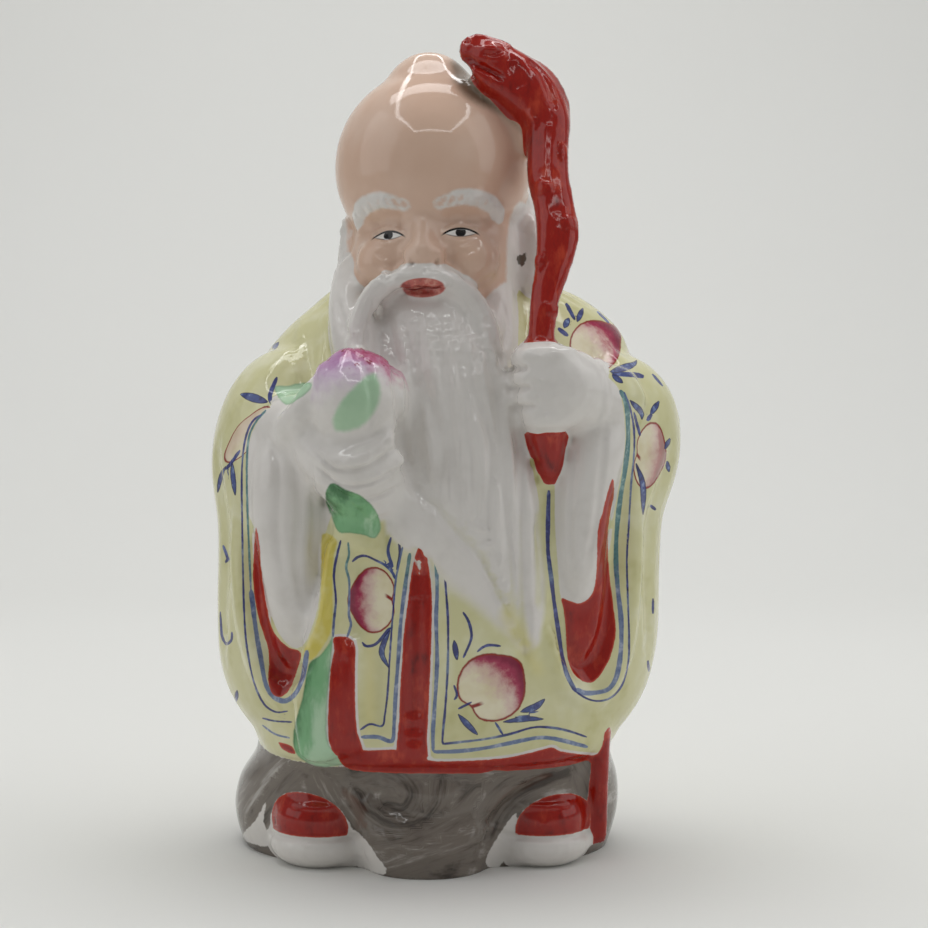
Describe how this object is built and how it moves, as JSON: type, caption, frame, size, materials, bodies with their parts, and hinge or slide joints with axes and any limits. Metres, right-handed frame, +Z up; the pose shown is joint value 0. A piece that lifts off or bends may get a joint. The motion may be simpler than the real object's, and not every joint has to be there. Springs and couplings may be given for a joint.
{
  "type": "porcelain shoulao figure",
  "caption": "Standing porcelain figure of a bald, bearded old man who holds a peach and a dragon-headed staff, in a patterned long-sleeved robe, on a flat underside.",
  "frame": {"origin": "on the flat underside, below the head", "axes": "+Z up, -Y the way the figure faces, +X towards the hand with the staff"},
  "size_m": [0.1461, 0.1101, 0.2501],
  "materials": {
    "glazed_porcelain": "white porcelain with painted enamels under a clear, glossy glaze"
  },
  "bodies": {
    "root": {"shoulao_figure": "glazed_porcelain"}
  },
  "joints": []
}
